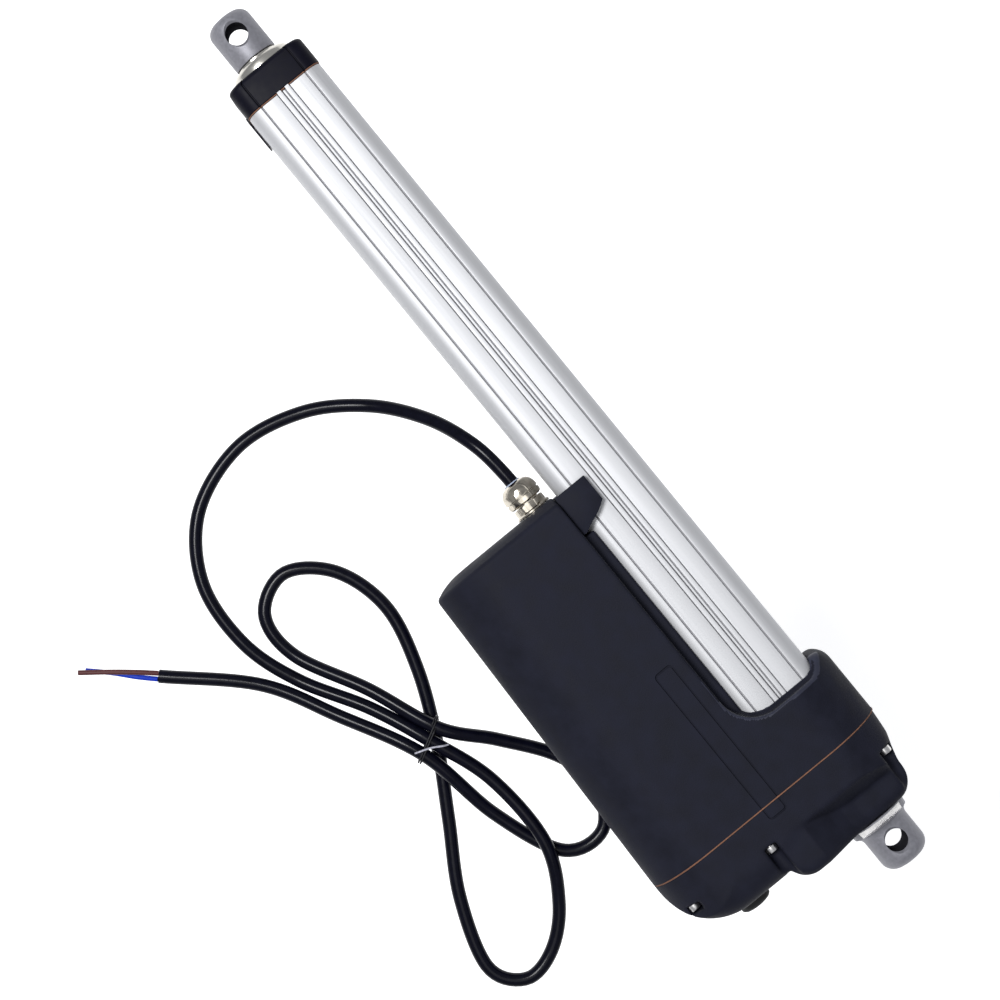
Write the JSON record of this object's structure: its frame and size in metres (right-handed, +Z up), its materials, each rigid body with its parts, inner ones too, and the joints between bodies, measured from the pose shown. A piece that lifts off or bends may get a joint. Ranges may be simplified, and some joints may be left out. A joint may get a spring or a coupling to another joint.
{
  "type": "linear actuator",
  "caption": "Electric linear actuator: motor beside a square aluminium tube, screw-driven rod, a pin eye at each end and a two-core power cable on a tied bundle of loops.",
  "frame": {"origin": "middle of the machine's underside, rod fully in, cable left out of account", "axes": "+X along the stroke towards the rod eye, +Y from the tube towards the motor, +Z up from the surface it lies on"},
  "size_m": [0.6104, 0.3398, 0.075],
  "materials": {
    "black_paint": "fine matt black powder coat on die-cast alloy",
    "black_plastic": "moulded black plastic",
    "black_rubber": "matt black rubber",
    "anodised_tube": "satin clear anodised extrusion",
    "grey_steel": "grey satin coated steel",
    "polished_steel": "polished bright steel",
    "zinc_steel": "bright zinc-plated steel",
    "bearing_steel": "ground steel",
    "nickel": "bright nickel plate on brass",
    "cast_alloy": "plain cast alloy",
    "plated_can": "plated sheet steel",
    "bronze": "turned bronze",
    "gasket": "brown gasket sheet",
    "white_nylon": "natural nylon",
    "seal_rubber": "grey-blue seal rubber",
    "magnet": "sintered ferrite",
    "circuit_board": "green circuit board",
    "cable_black": "smooth black cable sheath",
    "core_brown": "brown core insulation",
    "core_blue": "blue core insulation",
    "tie_white": "pale coated twist tie"
  },
  "bodies": {
    "base": {"outer_tube": "anodised_tube", "front_cap": "black_plastic", "cap_gasket": "gasket", "cap_ring": "polished_steel", "wiper_seal": "black_rubber", "guide_bush": "bronze", "slot_end_strip": "black_plastic", "motor_housing": "black_paint", "tube_clip": "black_paint", "rear_cover": "black_paint", "cover_gasket": "gasket", "drive_plug": "black_rubber", "rear_eye": "grey_steel", "clevis_nut": "zinc_steel", "sensor_board": "circuit_board", "end_sensor_rear": "black_plastic", "end_sensor_front": "black_plastic", "idler_axle": "zinc_steel", "gearbox_plate": "cast_alloy", "screw_bearing": "bearing_steel", "thrust_bearing": "bearing_steel", "motor_bearing_front": "bearing_steel", "motor_bearing_rear": "bearing_steel", "motor_can": "plated_can", "motor_magnet_1": "magnet", "motor_magnet_2": "magnet", "motor_brush_cap": "black_plastic", "cable_gland_body": "nickel", "cable_gland_nut": "nickel", "cable_gland_seal": "seal_rubber", "inner_lead_brown": "core_brown", "inner_lead_blue": "core_blue", "cable_sheath": "cable_black", "core_brown": "core_brown", "core_blue": "core_blue", "cable_tie": "tie_white", "cap_screw_1": "zinc_steel", "cap_screw_2": "zinc_steel", "cap_screw_3": "zinc_steel", "cap_screw_4": "zinc_steel", "cover_screw_1": "zinc_steel", "cover_screw_2": "zinc_steel", "cover_screw_3": "zinc_steel", "cover_screw_4": "zinc_steel", "cover_screw_5": "zinc_steel", "cover_screw_6": "zinc_steel"},
    "motor_rotor": {"motor_armature": "plated_can", "motor_pinion": "zinc_steel"},
    "idler": {"idler_gear": "white_nylon"},
    "screw": {"lead_screw": "polished_steel", "screw_gear": "cast_alloy", "screw_spacer": "zinc_steel", "screw_end_nut": "zinc_steel"},
    "rod": {"drive_nut": "bronze", "nut_guide": "white_nylon", "nut_magnet": "magnet", "piston_rod": "polished_steel", "rod_eye": "grey_steel"}
  },
  "joints": [
    {"name": "motor_spin", "type": "hinge", "parent": "base", "child": "motor_rotor", "pos_m": [-0.15, 0.04025, 0.0375], "axis": [-1, 0, 0], "range_deg": [0, 97020]},
    {"name": "idler_spin", "type": "hinge", "parent": "base", "child": "idler", "pos_m": [-0.235, 0.00275, 0.0375], "axis": [-1, 0, 0], "range_deg": [-35280, 0]},
    {"name": "screw_spin", "type": "hinge", "parent": "base", "child": "screw", "pos_m": [-0.15, -0.04225, 0.0375], "axis": [-1, 0, 0], "range_deg": [0, 25200]},
    {"name": "rod_slide", "type": "slide", "parent": "base", "child": "rod", "axis": [1, 0, 0], "range_m": [0, 0.35]}
  ],
  "couplings": [
    {"joint": "idler_spin", "follows": "motor_spin", "ratio": -0.36364},
    {"joint": "screw_spin", "follows": "motor_spin", "ratio": 0.25974},
    {"joint": "rod_slide", "follows": "motor_spin", "m_per_rad": 0.00020669}
  ]
}
